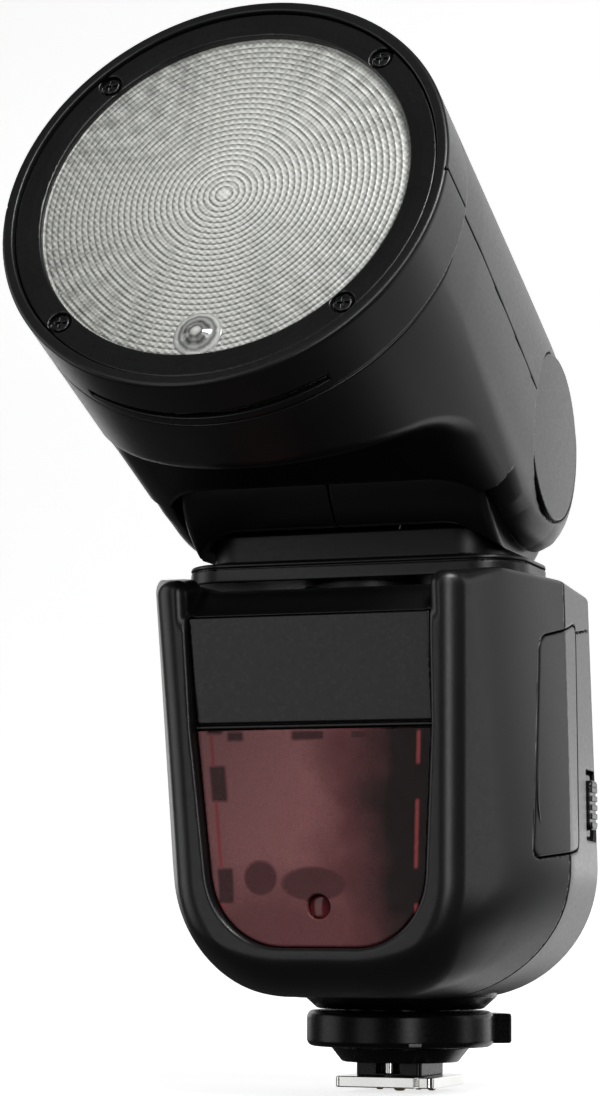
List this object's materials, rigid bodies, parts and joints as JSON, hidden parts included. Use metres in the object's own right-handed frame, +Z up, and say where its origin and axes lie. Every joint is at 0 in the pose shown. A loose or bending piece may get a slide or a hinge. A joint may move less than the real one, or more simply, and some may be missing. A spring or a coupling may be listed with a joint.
{
  "type": "speedlight flash",
  "caption": "Round-head camera speedlight with tilting and swivelling head, red front window, slide-out battery pack and lockable hot-shoe foot.",
  "frame": {"origin": "centre of the underside of the hot-shoe foot plate", "axes": "+Z up out of the shoe, -Y where the head looks at rest, +X to the right of someone facing the head"},
  "size_m": [0.076, 0.1294, 0.1818],
  "materials": {
    "shell_plastic": "fine-textured matte black",
    "smooth_plastic": "smooth satin black",
    "core_plastic": "plain dark",
    "red_acrylic": "deep red translucent",
    "clear_lens": "prismatic clear",
    "lamp_optic": "clear dome",
    "reflector_metal": "bright",
    "foot_steel": "polished",
    "screw_steel": "black oxide",
    "contact_metal": "gold plated",
    "display_glass": "gloss",
    "display_panel": "dull green grey",
    "board": "solder mask",
    "can": "sleeved",
    "cell_wrap": "wrapped",
    "rubber": "matte"
  },
  "bodies": {
    "housing": {"foot_plate": "foot_steel", "foot_hub": "smooth_plastic", "foot_screws": "screw_steel", "foot_collar": "smooth_plastic", "front_shell": "shell_plastic", "rear_shell": "shell_plastic", "shell_screws": "screw_steel", "badge_panel": "smooth_plastic", "red_window": "red_acrylic", "window_frame": "core_plastic", "focus_assist_lamp": "core_plastic", "photo_sensor": "core_plastic", "battery_bay": "core_plastic", "battery_contacts": "contact_metal", "main_board": "board", "main_capacitor": "can", "usb_port": "foot_steel", "sync_jack": "core_plastic", "lcd_window": "display_glass", "lcd_module": "display_panel", "swivel_bush": "core_plastic"},
    "lock_ring": {"lock_ring": "smooth_plastic"},
    "lock_pin": {"lock_pin": "foot_steel"},
    "centre_contact": {"contact_pin_centre": "contact_metal"},
    "rear_contacts": {"contact_pins_rear": "contact_metal"},
    "port_cover": {"port_cover": "rubber"},
    "battery": {"battery_case": "core_plastic", "battery_cells": "cell_wrap", "battery_cap": "shell_plastic"},
    "battery_latch": {"battery_latch": "smooth_plastic"},
    "function_key_1": {"function_key_1": "rubber"},
    "function_key_2": {"function_key_2": "rubber"},
    "function_key_3": {"function_key_3": "rubber"},
    "function_key_4": {"function_key_4": "rubber"},
    "mode_key": {"mode_key": "rubber"},
    "lamp_key": {"lamp_key": "rubber"},
    "test_key": {"test_key": "rubber"},
    "set_key": {"set_key": "smooth_plastic"},
    "control_dial": {"control_dial": "smooth_plastic"},
    "power_switch": {"power_switch": "smooth_plastic"},
    "neck": {"neck_base": "shell_plastic", "swivel_shaft": "core_plastic", "neck_core": "core_plastic", "neck_half_right": "shell_plastic", "neck_half_left": "shell_plastic"},
    "head": {"head_top_shell": "shell_plastic", "head_bottom_shell": "shell_plastic", "hub_caps": "smooth_plastic", "tilt_pins": "screw_steel", "bezel_ring": "smooth_plastic", "bezel_screws": "screw_steel", "lens_seat": "core_plastic", "fresnel_lens": "clear_lens", "led_lamp": "lamp_optic", "zoom_motor": "core_plastic", "guide_rod": "foot_steel"},
    "zoom_carriage": {"reflector": "reflector_metal", "flash_tube": "lamp_optic", "zoom_carriage": "core_plastic"},
    "lead_screw": {"lead_screw": "foot_steel"}
  },
  "joints": [
    {"name": "head_swivel", "type": "hinge", "parent": "housing", "child": "neck", "pos_m": [0, -0.0194, 0.09], "axis": [0, 0, 1], "range_deg": [-180, 150]},
    {"name": "head_tilt", "type": "hinge", "parent": "neck", "child": "head", "pos_m": [0, -0.0194, 0.11525], "axis": [-1, 0, 0], "range_deg": [-29.7, 97.3]},
    {"name": "zoom_travel", "type": "slide", "parent": "head", "child": "zoom_carriage", "axis": [0, -0.9225, 0.3859], "range_m": [0, 0.017]},
    {"name": "lead_screw_turn", "type": "hinge", "parent": "head", "child": "lead_screw", "pos_m": [0.0285, -0.06205, 0.14285], "axis": [0, -0.9225, 0.3859], "range_deg": [0, 2041]},
    {"name": "lock_ring_turn", "type": "hinge", "parent": "housing", "child": "lock_ring", "pos_m": [0, 0, 0.01045], "axis": [0, 0, 1], "range_deg": [0, 75]},
    {"name": "lock_pin_drop", "type": "slide", "parent": "housing", "child": "lock_pin", "axis": [0, 0, -1], "range_m": [0, 0.002]},
    {"name": "centre_contact_press", "type": "slide", "parent": "housing", "child": "centre_contact", "axis": [0, 0, 1], "range_m": [0, 0.0008], "stiffness_N_per_m": 300, "springref_m": -0.001},
    {"name": "rear_contacts_press", "type": "slide", "parent": "housing", "child": "rear_contacts", "axis": [0, 0, 1], "range_m": [0, 0.0008], "stiffness_N_per_m": 300, "springref_m": -0.001},
    {"name": "battery_slide", "type": "slide", "parent": "housing", "child": "battery", "axis": [1, 0, 0], "range_m": [0, 0.075]},
    {"name": "battery_latch_slide", "type": "slide", "parent": "housing", "child": "battery_latch", "axis": [0, 1, 0], "range_m": [0, 0.0017], "stiffness_N_per_m": 300, "springref_m": -0.001},
    {"name": "port_cover_hinge", "type": "hinge", "parent": "housing", "child": "port_cover", "pos_m": [-0.0357, 0.0031, 0.061], "axis": [0, 0, -1], "range_deg": [0, 90]},
    {"name": "function_key_1_press", "type": "slide", "parent": "housing", "child": "function_key_1", "axis": [0, -0.9908, -0.1355], "range_m": [0, 0.0007], "stiffness_N_per_m": 400, "springref_m": -0.0005},
    {"name": "function_key_2_press", "type": "slide", "parent": "housing", "child": "function_key_2", "axis": [0, -0.9908, -0.1355], "range_m": [0, 0.0007], "stiffness_N_per_m": 400, "springref_m": -0.0005},
    {"name": "function_key_3_press", "type": "slide", "parent": "housing", "child": "function_key_3", "axis": [0, -0.9908, -0.1355], "range_m": [0, 0.0007], "stiffness_N_per_m": 400, "springref_m": -0.0005},
    {"name": "function_key_4_press", "type": "slide", "parent": "housing", "child": "function_key_4", "axis": [0, -0.9908, -0.1355], "range_m": [0, 0.0007], "stiffness_N_per_m": 400, "springref_m": -0.0005},
    {"name": "mode_key_press", "type": "slide", "parent": "housing", "child": "mode_key", "axis": [0, -0.9908, -0.1355], "range_m": [0, 0.0007], "stiffness_N_per_m": 400, "springref_m": -0.0005},
    {"name": "lamp_key_press", "type": "slide", "parent": "housing", "child": "lamp_key", "axis": [0, -0.9908, -0.1355], "range_m": [0, 0.0007], "stiffness_N_per_m": 400, "springref_m": -0.0005},
    {"name": "test_key_press", "type": "slide", "parent": "housing", "child": "test_key", "axis": [0, -0.9908, -0.1355], "range_m": [0, 0.0007], "stiffness_N_per_m": 400, "springref_m": -0.0005},
    {"name": "set_key_press", "type": "slide", "parent": "housing", "child": "set_key", "axis": [0, -0.9908, -0.1355], "range_m": [0, 0.0007], "stiffness_N_per_m": 400, "springref_m": -0.0005},
    {"name": "dial_turn", "type": "hinge", "parent": "housing", "child": "control_dial", "pos_m": [0, 0.01941, 0.0413], "axis": [0, 0.9908, 0.1355], "continuous": true},
    {"name": "power_switch_slide", "type": "slide", "parent": "housing", "child": "power_switch", "axis": [-1, 0, 0], "range_m": [0, 0.004]}
  ],
  "couplings": [
    {"joint": "lead_screw_turn", "follows": "zoom_travel", "rad_per_m": 2094.4},
    {"joint": "lock_pin_drop", "follows": "lock_ring_turn", "m_per_rad": 0.00152}
  ]
}
